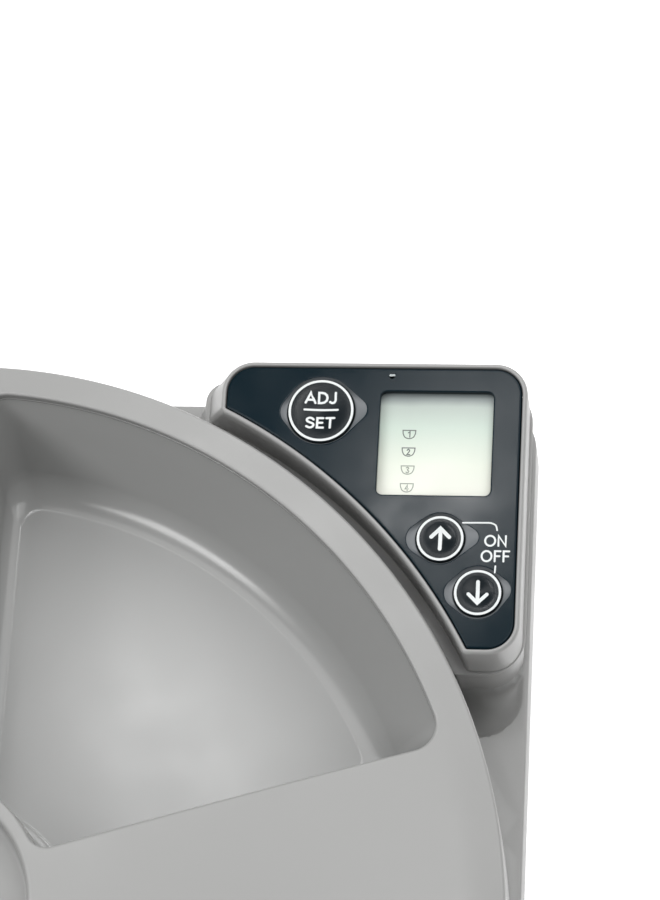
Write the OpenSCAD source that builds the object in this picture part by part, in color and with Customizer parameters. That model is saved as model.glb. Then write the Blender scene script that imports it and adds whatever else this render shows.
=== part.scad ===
// Automatic pet feeder: a five-compartment bowl turns under a drum lid with one opening.
// Origin: on the table, on the bowl's axis. +Z is up, the control panel stands at +X +Y.

/* [Base] */
// Half width of the base, along X
half_w = 146.6; // [146:0.1:148]
// Half depth of the base, along Y
half_d = 147.4; // [147:0.1:149]
// Height of the deck that the lid stands on
deck_z = 35; // [34.5:0.5:36]
// Height where the lower and upper shells meet
split_z = 20; // [19.8:0.1:21]
// Wall thickness of the shells
wall = 2.4; // [2:0.1:2.6]
// Corner radius beside the control panel
panel_corner_r = 11; // [9:0.5:13]
// Corner radius of the three plain corners
plain_corner_r = 40; // [36:1:44]

/* [Bowl and lid] */
// Outer radius of the lid
lid_r = 145; // [144.6:0.1:145.2]
// Height of the lid's outer edge
rim_z = 68; // [67.5:0.5:69]
// Radius of the top edge of the food compartments
mouth_r = 136.4; // [136:0.1:137]
// Height of the compartment floor
floor_z = 39.5; // [39:0.5:41]
// Number of compartments
compartments = 5; // [5:1:5]
// Direction of the middle of the open compartment
open_dir = 54; // [54:1:54]
// Top height of the lid's dome
dome_z = 80; // [78:1:82]

/* [Control panel] */
// Height of the control panel's glossy face
face_z = 67.7; // [67.5:0.1:68]
// Height of the ledge under the panel cover
ledge_z = 52.4; // [51:0.2:53]
// Radius of the panel face's inner curve, around the bowl's axis
face_arc_r = 150.6; // [150:0.1:151]
// Travel of the buttons
press = 0.8; // [0.6:0.1:1]

/* [Drive] */
// Gear module
gear_m = 0.8; // [0.8:0.1:0.8]
// Teeth on the drive gear
drive_teeth = 60; // [60:1:60]
// Teeth on the motor pinion and on the idler's small gear
small_teeth = 12; // [12:1:12]
// Teeth on the idler's large gear
idler_teeth = 36; // [36:1:36]

/* [Hidden] */
$fn = 128;
eps = 0.01;
shell_grey = [0.62, 0.63, 0.62];
dark_blue = [0.12, 0.15, 0.18];

foot_h = 2;                       // rubber feet hold the shell this far off the table
plate_z = foot_h + wall;          // top of the bottom plate
well_r = 120;                     // ice-pack well under the bowl
well_z = 22;                      // floor of the well
turret_r = 48.4;                  // gearbox turret in the middle of the well
turret_z = 33.5;                  // top of the turret
bowl_r = 141.2;                   // outer radius of the bowl's rim
step = 360 / compartments;
divider_top = 4;                  // half thickness of a divider at its top
divider_foot = 7;                 // half thickness of a divider at its foot
hub_r = 27;                       // column in the middle of the bowl
skin = 1.8;                       // wall thickness of the bowl
wall_angle = 63.5;                // steepness of the compartments' outer wall
floor_fillet = 12;                // radius between outer wall and floor
rim_rise = 3.4;                   // the lid's edge band rises by this towards the mouth
lid_t = 2.2;                      // wall thickness of the lid
grip_r = 30;                      // round hand recess in the middle of the lid
bezel = 1.5;                      // width of the panel cover's rim around the face
ledge = 0.5;                      // width of the ledge around the panel cover

pedestal_t = 2.2;                 // wall thickness of the pedestal under the control panel
rib_r = 142;                      // low rib on the deck that keeps the lid in place
lip_gap = 0.4;                    // space between the bowl's top and the lid above it

// Control panel outline, as the edges of the glossy face
face_left = 68.1;
face_right = 144.3;
face_front = 71;
face_back = 145.7;
adj_pos = [92.8, 133.8];
up_pos = [125, 99.7];
down_pos = [135, 85.6];
adj_r = 8.7;
arrow_r = 6.2;
led_pos = [110.8, 143.6];
lcd_low = [108.1, 111.2];
lcd_size = [29.1, 28.2];
board_z = 58;                     // underside of the circuit board
board_t = 1.6;
switch_h = 3.2;                   // tact switch, from the board to the top of its plunger
face_t = 1.5;                     // thickness of the glossy face
dish_depth = 0.7;                 // shallow dishes around the buttons
button_gap = 0.2;                 // clearance around a button
lcd_t = 2.6;
lcd_drop = 2;                     // the display lies this far below the face
lcd_lap = 1.5;                    // the display's glass reaches this far past its window
pipe_r = 0.8;                     // light pipe of the LED

// Drive train
drive_r = gear_m * drive_teeth / 2;
small_r = gear_m * small_teeth / 2;
idler_r = gear_m * idler_teeth / 2;
idler_dir = 200;
motor_dir = 288;
idler_pos = (drive_r + small_r) * [cos(idler_dir), sin(idler_dir)];
motor_pos = idler_pos + (idler_r + small_r) * [cos(motor_dir), sin(motor_dir)];
plate_low = 17.4;                 // gearbox plate
plate_top = 19;
drive_gear_z = 23.6;
spindle_r = 5;
journal_r = 3;                    // lower end of the spindle, in the gearbox plate
idler_axle_r = 1.5;
motor_shaft_r = 1;
bush_r = 7;
running = 0.05;                   // radial clearance of a shaft in its bearing
pilot = 0.1;                      // clearance around a screw
shell_screw_r = 1.5;
gearbox_screw_r = 1.2;
panel_screw_r = 1.3;
wire_r = 0.9;
post_dirs = [20, 150, 275];
post_r = 41;
screw_spots = [[112, 112], [-112, 112], [-112, -112], [112, -112],
    [133, 0], [-133, 0], [0, 133.5], [0, -133.5]];
panel_bosses = [[139, 103], [75.5, 141], [138.8, 77.6]];
board_posts = [[84, 136], [131, 93], [134, 120]];
foot_spots = [[98, 98], [-98, 98], [-98, -98], [98, -98]];

// Battery bay, in the front half of the underside
cell_r = 7.15;
cell_l = 50;
cell_n = 4;
cell_pitch = 14.7;
bay_y = -86;
bay_w = 57;
bay_d = cell_n * cell_pitch + 1;
door_w = 60;
door_d = 64;
cell_z = plate_z + 0.6 + cell_r;
hinge_y = bay_y + door_d / 2;
hinge_z = 3.5;
hinge_r = 1.2;                    // pins on the door's ears

// ---- Shared shapes ----

module ring(outer, inner, h) {
    difference() {
        cylinder(r = outer, h = h);
        translate([0, 0, -1]) cylinder(r = inner, h = h + 2);
    }
}

// Footprint of the base, made smaller by inset
module footprint(inset = 0) {
    w = half_w - inset;
    d = half_d - inset;
    p = panel_corner_r - inset;
    c = plain_corner_r - inset;
    polygon([[w, d - p], [w - p, d], [c - w, d], [-w, d - c], [-w, c - d], [c - w, -d], [w - c, -d], [w, c - d]]);
    translate([w - p, d - p]) circle(r = p);
    for (s = [[-1, 1], [-1, -1], [1, -1]]) translate([s.x * (w - c), s.y * (d - c)]) circle(r = c);
}

// Outline of the control panel, grown outwards from the face's edges
module panel_outline(grow = 0) {
    x0 = face_left - grow;
    x1 = face_right + grow;
    y0 = face_front - grow;
    y1 = face_back + grow;
    r = 6.8 + grow;
    difference() {
        union() {
            polygon([[x0, y0], [x1 - r, y0], [x1, y0 + r], [x1, y1 - r], [x1 - r, y1], [x0 + r, y1], [x0, y1 - r]]);
            for (p = [[x1 - r, y0 + r], [x1 - r, y1 - r], [x0 + r, y1 - r]]) translate(p) circle(r = r);
        }
        circle(r = face_arc_r - grow, $fn = 256);
    }
}

// Involute gear with a little backlash, tooth 0 along +X
function involute_turn(a) = (tan(a) * 180 / PI - a);
function tooth_half(r, pitch_r, teeth, pa) =
    90 / teeth - 0.09 / pitch_r * 180 / PI + involute_turn(pa)
    - involute_turn(acos(min(1, pitch_r * cos(pa) / max(r, pitch_r * cos(pa)))));
module gear(teeth, h) {
    pitch_r = gear_m * teeth / 2;
    tip = pitch_r + 0.9 * gear_m;
    root = pitch_r - 1.2 * gear_m;
    levels = [root, for (i = [0 : 3]) max(root, pitch_r * cos(25)) + i / 3 * (tip - max(root, pitch_r * cos(25)))];
    linear_extrude(h) polygon([for (t = [0 : teeth - 1], side = [-1, 1], i = [0 : 4])
        let (r = side < 0 ? levels[i] : levels[4 - i], a = t * 360 / teeth + side * tooth_half(r, pitch_r, teeth, 25))
        r * [cos(a), sin(a)]]);
}

// Round tube swept along a route of points
module sweep(route, r, sides = 8) {
    n = len(route);
    function along(i) = let (d = route[min(i + 1, n - 1)] - route[max(i - 1, 0)]) d / norm(d);
    function side_of(d) = let (c = cross(d, abs(d.z) > 0.9 ? [1, 0, 0] : [0, 0, 1])) c / norm(c);
    points = [for (i = [0 : n - 1], j = [0 : sides - 1])
        let (d = along(i), u = side_of(d), v = cross(d, u))
        route[i] + r * (cos(j * 360 / sides) * u + sin(j * 360 / sides) * v)];
    polyhedron(points, concat([[for (j = [0 : sides - 1]) j]], [[for (j = [0 : sides - 1]) n * sides - 1 - j]],
        [for (i = [0 : n - 2], j = [0 : sides - 1])
            [i * sides + j, (i + 1) * sides + j, (i + 1) * sides + (j + 1) % sides, i * sides + (j + 1) % sides]]));
}

// Smooth route through a few corner points (Catmull-Rom)
function curve(p, n = 6) = [for (i = [0 : len(p) - 2], k = [0 : n - 1])
    let (t = k / n, a = p[max(i - 1, 0)], b = p[i], c = p[i + 1], d = p[min(i + 2, len(p) - 1)])
    0.5 * (2 * b + (c - a) * t + (2 * a - 5 * b + 4 * c - d) * t * t + (3 * b - a - 3 * c + d) * t * t * t), p[len(p) - 1]];

// ---- Base ----

module base_lower_shell() {
    color(shell_grey) difference() {
        union() {
            difference() {
                translate([0, 0, foot_h]) linear_extrude(split_z - foot_h) footprint(1.2);
                translate([0, 0, plate_z]) linear_extrude(split_z) footprint(1.2 + wall);
            }
            for (p = screw_spots) translate([p.x, p.y, foot_h]) cylinder(r = 5.4, h = 17.4);
            translate([-bay_w / 2 - 1.6, bay_y - bay_d / 2 - 1.6, foot_h]) cube([bay_w + 3.2, bay_d + 3.2, 17.3]);
            for (s = [-1, 1]) translate([s * (door_w / 2 + 3.3) - 3, hinge_y - 4, foot_h]) cube([6, 7, 4.6]);
        }
        translate([-bay_w / 2, bay_y - bay_d / 2, foot_h - 1]) cube([bay_w, bay_d, 30]);
        translate([-door_w / 2 - 0.3, bay_y - door_d / 2 - 0.3, foot_h - 1])
            cube([door_w + 0.6, door_d + 2.3, wall + 1 + eps]);
        for (s = [-1, 1]) translate([s * (door_w / 2 - 1), hinge_y, hinge_z]) rotate([0, s * 90, 0])
            cylinder(r = hinge_r + running, h = 5);
        translate([-door_w / 2 - 0.3, hinge_y, hinge_z]) rotate([0, 90, 0]) cylinder(r = hinge_r + 0.5, h = door_w + 0.6);
        for (p = screw_spots) translate([p.x, p.y, 0]) {
            cylinder(r = 3.6, h = 8);
            cylinder(r = shell_screw_r + 0.3, h = 30);
        }
        for (p = foot_spots) translate([p.x, p.y, 0]) cylinder(r = 9.1, h = foot_h + 0.8);
    }
}

// Hollow that lets a finger under the lid's edge, in front of the control panel: a round-ended
// trough that slopes down towards the bowl
module finger_scoop() {
    shallow = [133.6, 68.3, deck_z + 4];
    deep = [119, 68.3, deck_z - 4];
    r = 11.4;
    slope = atan2(shallow.z - deep.z, shallow.x - deep.x);
    difference() {
        union() {
            translate(shallow) sphere(r = r);
            translate(deep) rotate([0, 90 - slope, 0]) cylinder(r = r - 0.1, h = norm(shallow - deep));
        }
        translate([100, face_front - bezel - ledge, 0]) cube([60, 40, 100]);
    }
}

module pedestal_block(inset, low, high) {
    foot_x = 55;
    top_x = face_left - bezel - ledge - 2;
    difference() {
        intersection() {
            translate([0, 200, 0]) rotate([90, 0, 0]) linear_extrude(200)
                polygon([[foot_x + 1.1 * inset, low], [200, low], [200, high], [top_x + 1.1 * inset, high]]);
            translate([0, 0, low]) linear_extrude(high - low) intersection() {
                footprint(0.5 + inset);
                translate([0, face_front - bezel - ledge + inset]) square(200);
            }
        }
        translate([0, 0, low - 1]) cylinder(r = lid_r + 1.2 + inset, h = high, $fn = 256);
    }
}

module base_upper_shell() {
    color(shell_grey) difference() {
        union() {
            difference() {
                translate([0, 0, split_z]) linear_extrude(deck_z - split_z) footprint();
                translate([0, 0, split_z - 1]) linear_extrude(deck_z - split_z - wall + 1) footprint(wall);
                cylinder(r = well_r + eps, h = 100, $fn = 256);
                pedestal_block(4, split_z, deck_z + 1);
            }
            translate([0, 0, well_z - wall]) ring(well_r + wall, well_r, deck_z - well_z + wall);
            translate([0, 0, well_z - wall]) ring(well_r + 1, turret_r - 1, wall);
            translate([0, 0, well_z - wall]) ring(turret_r, turret_r - wall, turret_z - well_z + wall);
            translate([0, 0, turret_z - wall]) cylinder(r = turret_r, h = wall);
            translate([0, 0, deck_z - 1]) ring(rib_r, rib_r - 1.8, 4.4, $fn = 256);
            for (p = screw_spots) translate([p.x, p.y, 19.6])
                cylinder(r = 4.4, h = (p == screw_spots[0] ? ledge_z : deck_z) - 20.6);
            for (a = post_dirs) translate([post_r * cos(a), post_r * sin(a), plate_top]) cylinder(r = 3.4, h = 13);
            intersection() {
                translate([108, 55, split_z]) cube([48, 20, deck_z - split_z]);
                translate([0, 0, split_z]) linear_extrude(deck_z) footprint(1);
            }
            difference() {
                pedestal_block(0, deck_z - 1, ledge_z);
                pedestal_block(pedestal_t, deck_z - 2, ledge_z - pedestal_t);
            }
            for (p = board_posts) translate([p.x, p.y, ledge_z - 1]) cylinder(r = 1.6, h = board_z - ledge_z + 1);
        }
        finger_scoop();
        for (p = screw_spots) translate([p.x, p.y, 0]) cylinder(r = shell_screw_r + pilot, h = 30);
        for (a = post_dirs) translate([post_r * cos(a), post_r * sin(a), 0]) cylinder(r = gearbox_screw_r + pilot, h = 30);
        translate([0, 0, 20]) cylinder(r = bush_r + running, h = 30);
        for (p = panel_bosses) translate([p.x, p.y, 0]) cylinder(r = panel_screw_r + 0.4, h = 60);
        translate([104, 118, 0]) cylinder(r = 6, h = 60);
    }
}

module base_screws() {
    color("gray") for (p = screw_spots) translate([p.x, p.y, 0]) difference() {
        union() {
            translate([0, 0, 5.6]) cylinder(r = 3.2, h = 2.4);
            translate([0, 0, 8]) cylinder(r = shell_screw_r, h = 20);
        }
        for (a = [0, 90]) rotate(a) translate([-1.7, -0.35, 5]) cube([3.4, 0.7, 1.6]);
    }
}

module rubber_feet() {
    color([0.1, 0.1, 0.1]) for (p = foot_spots) translate([p.x, p.y, 0]) {
        cylinder(r = 8.3, h = 1);
        translate([0, 0, 1]) cylinder(r = 9, h = foot_h + 0.8 - 1);
    }
}

// ---- Batteries ----

module battery_door() {
    color(shell_grey) difference() {
        union() {
            translate([-door_w / 2, bay_y - door_d / 2, foot_h + 0.3]) cube([door_w, door_d, 2]);
            translate([-door_w / 2, hinge_y, hinge_z]) rotate([0, 90, 0]) cylinder(r = hinge_r, h = door_w);
            translate([-door_w / 2 - 2.6, hinge_y, hinge_z]) rotate([0, 90, 0]) cylinder(r = hinge_r, h = door_w + 5.2);
        }
        for (i = [0 : 4]) translate([-12, bay_y - door_d / 2 + 6 + 3 * i, foot_h]) cube([24, 1.2, 0.9]);
    }
}

module battery_cells() {
    for (i = [0 : cell_n - 1]) {
        flip = i % 2 == 0 ? 1 : -1;
        translate([0, bay_y + (i - (cell_n - 1) / 2) * cell_pitch, cell_z]) rotate([0, 90 * flip, 0]) {
            color([0.25, 0.27, 0.3]) translate([0, 0, -cell_l / 2]) cylinder(r = cell_r, h = cell_l - 1.5);
            color("silver") translate([0, 0, cell_l / 2 - 1.5]) cylinder(r = 2.7, h = 1.4);
        }
    }
}

module battery_contacts() {
    color("silver") for (i = [0 : cell_n - 1], s = [-1, 1])
        translate([s * (bay_w / 2 - 0.3) - 0.2, bay_y + (i - (cell_n - 1) / 2) * cell_pitch - 5, cell_z - 5])
            cube([0.4, 10, 10]);
}

module battery_springs() {
    color("silver") for (i = [0 : cell_n - 1]) {
        flip = i % 2 == 0 ? -1 : 1;
        coil = [for (k = [0 : 36]) let (a = 30 * k, r = 4.2 - k * 0.055) [r * cos(a), r * sin(a), k * 0.065]];
        translate([flip * (bay_w / 2 - 0.8), bay_y + (i - (cell_n - 1) / 2) * cell_pitch, cell_z])
            rotate([0, -90 * flip, 0]) sweep(coil, 0.25, 6);
    }
}

// ---- Ice packs: two half rings round the turret ----

module ice_pack() {
    difference() {
        translate([0, 0, well_z + 0.2]) union() {
            ring(116, 52.5, 9.5);
            translate([0, 0, -0.1]) ring(114.5, 54, 11.2);
        }
        translate([-150, -150, 0]) cube([153, 300, 60]);
    }
}
module ice_pack_left() { color([0.35, 0.55, 0.75]) mirror([1, 0, 0]) ice_pack(); }
module ice_pack_right() { color([0.35, 0.55, 0.75]) ice_pack(); }

// ---- Drive ----

module gearbox_plate() {
    color([0.85, 0.85, 0.82]) difference() {
        translate([0, 0, plate_low]) cylinder(r = 45, h = plate_top - plate_low);
        translate([motor_pos.x, motor_pos.y, 0]) cylinder(r = 3.2, h = 40);
        translate([idler_pos.x, idler_pos.y, 0]) cylinder(r = idler_axle_r, h = 40);
        cylinder(r = journal_r + running, h = 40);
        for (a = post_dirs) translate([post_r * cos(a), post_r * sin(a), 0]) cylinder(r = gearbox_screw_r + pilot, h = 40);
        translate([30, 22, 0]) cylinder(r = 3, h = 40);
    }
}

module gearbox_screws() {
    color("gray") for (a = post_dirs) translate([post_r * cos(a), post_r * sin(a), 0]) {
        translate([0, 0, plate_low - 1.6]) cylinder(r = 2.3, h = 1.6);
        translate([0, 0, plate_low]) cylinder(r = gearbox_screw_r, h = 9);
    }
}

module motor() {
    color("silver") translate([motor_pos.x, motor_pos.y, 0]) difference() {
        union() {
            translate([0, 0, plate_z + 0.5]) cylinder(r = 12.2, h = plate_low - plate_z - 0.5);
            translate([0, 0, plate_low - 0.5]) cylinder(r = 3.1, h = 1.6);
        }
        translate([0, 0, 10]) cylinder(r = motor_shaft_r + running, h = 10);
    }
}

// Pinion with the motor's shaft pressed into it
module motor_pinion() {
    color("gold") translate([motor_pos.x, motor_pos.y, 0]) {
        translate([0, 0, plate_top + 0.3]) rotate(motor_dir + 180 + 180 / small_teeth) gear(small_teeth, 4);
        translate([0, 0, 10.2]) cylinder(r = motor_shaft_r, h = plate_top + 1 - 10.2);
    }
}

module idler_axle() {
    color("silver") translate([idler_pos.x, idler_pos.y, plate_low]) {
        cylinder(r = idler_axle_r, h = 10.4);
        translate([0, 0, plate_top - plate_low]) cylinder(r = 2.4, h = 0.6);
    }
}

module idler_gear() {
    color("white") translate([idler_pos.x, idler_pos.y, 0]) difference() {
        union() {
            translate([0, 0, 19.9]) rotate(motor_dir) gear(idler_teeth, 3);
            translate([0, 0, 22.8]) rotate(idler_dir + 180 + 180 / small_teeth) gear(small_teeth, 4.6);
        }
        cylinder(r = idler_axle_r + running, h = 40);
    }
}

module drive_gear() {
    color("white") difference() {
        union() {
            translate([0, 0, drive_gear_z]) rotate(idler_dir) gear(drive_teeth, 3.6);
            translate([0, 0, drive_gear_z - 1.5]) cylinder(r = 9, h = 5.4);
        }
        cylinder(r = spindle_r + running, h = 60);
        for (i = [0 : 5]) rotate(60 * i + 30) translate([15.5, 0, 0]) cylinder(r = 3.6, h = 60);
    }
}

module index_disc() {
    color([0.1, 0.1, 0.1]) difference() {
        translate([0, 0, 28.2]) cylinder(r = 34, h = 1);
        cylinder(r = spindle_r + running, h = 60);
        for (i = [0 : compartments - 1]) rotate(i * step + open_dir) translate([30, -1.5, 20]) cube([3.2, 3, 20]);
    }
}

module index_sensor() {
    color([0.08, 0.08, 0.1]) rotate(open_dir) translate([31.6, 0, 0]) {
        translate([-3, -4, plate_top]) cube([6, 8, 7.6]);
        for (s = [-1, 1]) translate([0, s * 1.8, plate_top + 7.6]) cylinder(r = 1.2, h = 0.7);
    }
}

module drive_spindle() {
    color("silver") {
        translate([0, 0, plate_low + 0.2]) cylinder(r = journal_r, h = 4.2);
        translate([0, 0, drive_gear_z - 1.9]) cylinder(r = spindle_r, h = 34.5 - drive_gear_z + 1.9);
        translate([0, 0, 34.45]) cylinder(r = 10, h = 1.75);
        translate([0, 0, 36.2]) cylinder(r = 7.9, h = 10, $fn = 6);
    }
}

module spindle_bush() {
    color([0.7, 0.55, 0.35]) difference() {
        union() {
            translate([0, 0, 30.4]) cylinder(r = bush_r, h = 3.2);
            translate([0, 0, turret_z]) cylinder(r = bush_r + 2, h = 0.85);
        }
        cylinder(r = spindle_r + running, h = 60);
    }
}

module retaining_ring() {
    color("silver") translate([0, 0, 29.4]) difference() {
        ring(7.6, spindle_r + running, 0.8);
        translate([0, -1.5, -1]) cube([20, 3, 5]);
    }
}

// ---- Bowl ----

wall_low_z = floor_z + floor_fillet * (1 - cos(wall_angle));
wall_top_z = rim_z + 0.6;
wall_low_r = mouth_r - 0.2 - (wall_top_z - wall_low_z) / tan(wall_angle);
fillet_r = wall_low_r - floor_fillet * sin(wall_angle);

// Section of the food trough: grow moves its walls and floor outwards, top is where it ends
function trough(grow, top) = concat(
    [[hub_r - grow, top], [hub_r + 3 - grow, floor_z - grow]],
    [for (a = [0 : wall_angle / 6 : wall_angle])
        [fillet_r + (floor_fillet + grow) * sin(a), floor_z + floor_fillet - (floor_fillet + grow) * cos(a)]],
    [[mouth_r - 0.2 + grow / sin(wall_angle) + (top - wall_top_z) / tan(wall_angle), top]]);

module divider(grow, top) {
    rotate([90, 0, 90]) linear_extrude(bowl_r) polygon([
        [-divider_foot - grow, floor_z - skin - 1], [divider_foot + grow, floor_z - skin - 1],
        [divider_foot - 2.2 + grow, floor_z + 3], [divider_top + grow, top],
        [-divider_top - grow, top], [-divider_foot + 2.2 - grow, floor_z + 3]]);
}

module bowl() {
    dividers = [for (i = [0 : compartments - 1]) open_dir + step * (i + 0.5)];
    color(shell_grey) difference() {
        union() {
            difference() {
                rotate_extrude($fn = 256) trough_solid();
                rotate_extrude($fn = 256) polygon(trough(0, wall_top_z + 0.5));
            }
            intersection() {
                union() for (a = dividers) rotate(a) difference() {
                    divider(0, wall_top_z);
                    divider(-skin, wall_top_z - skin);
                }
                rotate_extrude($fn = 256) polygon(trough(0.6, wall_top_z));
            }
            translate([0, 0, 36.3]) cylinder(r = 10.5, h = 30);
        }
        translate([0, 0, 30]) cylinder(r = 8, h = 17, $fn = 6);
    }
}

// Outer body of the bowl before the trough is cut
module trough_solid() {
    outer = trough(skin, wall_top_z - 3.2);
    last = outer[len(outer) - 1];
    flange_drop = (bowl_r - mouth_r) * rim_rise / (lid_r - mouth_r);
    difference() {
        polygon(concat([[0, wall_top_z], [0, floor_z - skin]], [for (i = [1 : len(outer) - 1]) outer[i]],
            [[bowl_r - 1.6, last.y - flange_drop + 0.8], [bowl_r - 1.6, last.y - 4], [bowl_r, last.y - 4],
            [bowl_r, wall_top_z - flange_drop], [mouth_r - 0.2, wall_top_z]]));
        translate([0, floor_z - skin - 1]) polygon([[0, 0], [hub_r + 0.8, 0], [hub_r - skin - 1.5, 26.6], [0, 26.6]]);
    }
}

// ---- Lid ----

// Height of the dome's surface
function dome(r) = let (rise = dome_z - rim_z - rim_rise) rim_z + rim_rise + rise * (1 - pow(r / mouth_r, 2));

module aperture(grow, low, high) {
    translate([0, 0, low]) linear_extrude(high - low) difference() {
        intersection() {
            circle(r = mouth_r + grow, $fn = 256);
            rotate(open_dir) polygon([[0, 0], 200 * [cos(step / 2), -sin(step / 2)], 200 * [cos(step / 2), sin(step / 2)]]);
        }
        circle(r = grip_r + 4 - grow);
        for (s = [-1, 1]) rotate(open_dir + s * step / 2) translate([0, s < 0 ? -50 : grow - divider_top])
            square([200, s < 0 ? 50 + divider_top - grow : 50]);
    }
}

module lid() {
    lip_z = wall_top_z + lip_gap;
    color(shell_grey) difference() {
        union() {
            rotate_extrude($fn = 256) polygon(concat(
                [for (i = [0 : 10]) let (r = i / 10 * mouth_r) [r, dome(r)]],
                [[lid_r - 0.7, rim_z + 0.35], [lid_r, rim_z - 0.7], [lid_r - 0.4, deck_z + 0.1],
                [lid_r - 0.4 - lid_t, deck_z + 0.1], [lid_r - lid_t, rim_z - 1.6],
                [mouth_r + 0.5, rim_z + rim_rise - 2.4]],
                [for (i = [10 : -1 : 0]) let (r = i / 10 * (mouth_r - 2)) [r, dome(r) - lid_t]]));
            intersection() {
                difference() {
                    aperture(lid_t, lip_z, dome_z);
                    aperture(0, lip_z - 1, dome_z + 1);
                }
                rotate_extrude($fn = 256) polygon(concat([[0, lip_z]],
                    [for (i = [0 : 10]) let (r = i / 10 * mouth_r) [r, dome(r) - 0.3]], [[mouth_r + 0.5, lip_z]]));
            }
            intersection() {
                translate([0, 0, lip_z]) cylinder(r = grip_r + 2, h = 12);
                rotate_extrude() polygon(concat([[0, lip_z]],
                    [for (i = [0 : 4]) let (r = i * 10) [r, dome(r) - 0.3]], [[40, lip_z]]));
            }
        }
        aperture(0, lip_z - 10, dome_z + 1);
        difference() {
            translate([0, 0, lip_z + 2]) cylinder(r = grip_r, h = 20);
            rotate(open_dir) translate([-7, -50, 0]) cube([14, 100, dome_z]);
        }
        rotate(open_dir) translate([-5, -26, lip_z - 1]) cube([10, 52, 7.5]);
    }
}

// ---- Control panel ----

module almond(length, width, h) {
    // Two circular arcs that cross: the shallow dish around a button
    r = (length * length / 4 + width * width / 4) / width;
    intersection() {
        translate([0, r - width / 2, 0]) cylinder(r = r, h = h);
        translate([0, width / 2 - r, 0]) cylinder(r = r, h = h);
    }
}

module rounded_window(low, size, r, z, h) {
    translate([low.x, low.y, z]) {
        translate([r, 0, 0]) cube([size.x - 2 * r, size.y, h]);
        translate([0, r, 0]) cube([size.x, size.y - 2 * r, h]);
        for (x = [r, size.x - r], y = [r, size.y - r]) translate([x, y, 0]) cylinder(r = r, h = h);
    }
}

module panel_cover() {
    inner_top = face_z - face_t;
    color(shell_grey) difference() {
        union() {
            difference() {
                translate([0, 0, ledge_z]) linear_extrude(face_z + 0.4 - ledge_z) panel_outline(bezel);
                translate([0, 0, ledge_z - 1]) linear_extrude(inner_top - ledge_z - 0.6) panel_outline(-0.6);
                translate([0, 0, inner_top - 0.1]) linear_extrude(10) panel_outline(0.15);
                translate([0, 0, ledge_z]) linear_extrude(40) panel_outline(-2.4);
            }
            for (p = panel_bosses) translate([p.x, p.y, ledge_z]) cylinder(r = 3.4, h = inner_top - ledge_z - 2.6);
        }
        for (p = panel_bosses) translate([p.x, p.y, ledge_z - 1]) cylinder(r = panel_screw_r + pilot, h = 9);
        translate([led_pos.x, led_pos.y, ledge_z + 4]) cylinder(r = pipe_r + 0.3, h = 20);
        rounded_window(lcd_low - [2.9, 2.9], lcd_size + [5.8, 5.8], 2.8, board_z, face_z - lcd_drop - board_z);
    }
}

module panel_face() {
    color(dark_blue) difference() {
        translate([0, 0, face_z - face_t]) linear_extrude(face_t) panel_outline(0);
        rounded_window(lcd_low, lcd_size, 2, face_z - 5, 10);
        translate([adj_pos.x, adj_pos.y, 0]) cylinder(r = adj_r + button_gap, h = 100);
        translate([led_pos.x, led_pos.y, 0]) cylinder(r = pipe_r + 0.1, h = 100);
        translate([adj_pos.x + 0.8, adj_pos.y + 0.4, face_z - dish_depth]) almond(22.4, 18.2, 2);
        for (p = [up_pos, down_pos]) {
            translate([p.x, p.y, 0]) cylinder(r = arrow_r + button_gap, h = 100);
            translate([p.x + 0.3, p.y, face_z - dish_depth]) almond(17.4, 13.6, 2);
        }
    }
}

module panel_screws() {
    color("gray") for (p = panel_bosses) translate([p.x, p.y, 0]) {
        translate([0, 0, ledge_z - pedestal_t - 1.8]) cylinder(r = 2 * panel_screw_r, h = 1.8);
        translate([0, 0, ledge_z - pedestal_t]) cylinder(r = panel_screw_r, h = 8);
    }
}

module lcd_glass() {
    color([0.85, 0.88, 0.82]) translate([lcd_low.x - lcd_lap, lcd_low.y - lcd_lap, face_z - lcd_drop - lcd_t])
        cube([lcd_size.x + 2 * lcd_lap, lcd_size.y + 2 * lcd_lap, lcd_t]);
}

module lcd_frame() {
    color([0.2, 0.2, 0.2]) difference() {
        rounded_window(lcd_low - [2.6, 2.6], lcd_size + [5.2, 5.2], 2.5, board_z + board_t, 6.2);
        translate([lcd_low.x - lcd_lap - 0.1, lcd_low.y - lcd_lap - 0.1, face_z - lcd_drop - lcd_t - 0.05])
            cube([lcd_size.x + 2 * lcd_lap + 0.2, lcd_size.y + 2 * lcd_lap + 0.2, 10]);
        translate([lcd_low.x + 1, lcd_low.y + 1, 0]) cube([lcd_size.x - 2, lcd_size.y - 2, 100]);
    }
}

module circuit_board() {
    color([0.1, 0.4, 0.2]) difference() {
        translate([0, 0, board_z]) linear_extrude(board_t) panel_outline(-3.4);
        for (p = panel_bosses) translate([p.x, p.y, 0]) cylinder(r = 3.8, h = 100);
    }
}

module tact_switches() {
    color([0.15, 0.15, 0.15]) for (p = [adj_pos, up_pos, down_pos]) translate([p.x, p.y, board_z + board_t]) {
        translate([-3, -3, 0]) cube([6, 6, switch_h - 0.6]);
        translate([0, 0, switch_h - 0.6]) cylinder(r = 1.7, h = 0.6);
    }
}

module buzzer() {
    color([0.05, 0.05, 0.05]) translate([122, 118, board_z - 4.6]) difference() {
        cylinder(r = 6, h = 4.6);
        translate([0, 0, -1]) cylinder(r = 1, h = 2);
    }
}

module led_light_pipe() {
    color([0.8, 0.9, 0.8]) translate([led_pos.x, led_pos.y, board_z + board_t + 1]) cylinder(r = pipe_r, h = face_z - board_z - board_t - 1);
}

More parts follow.
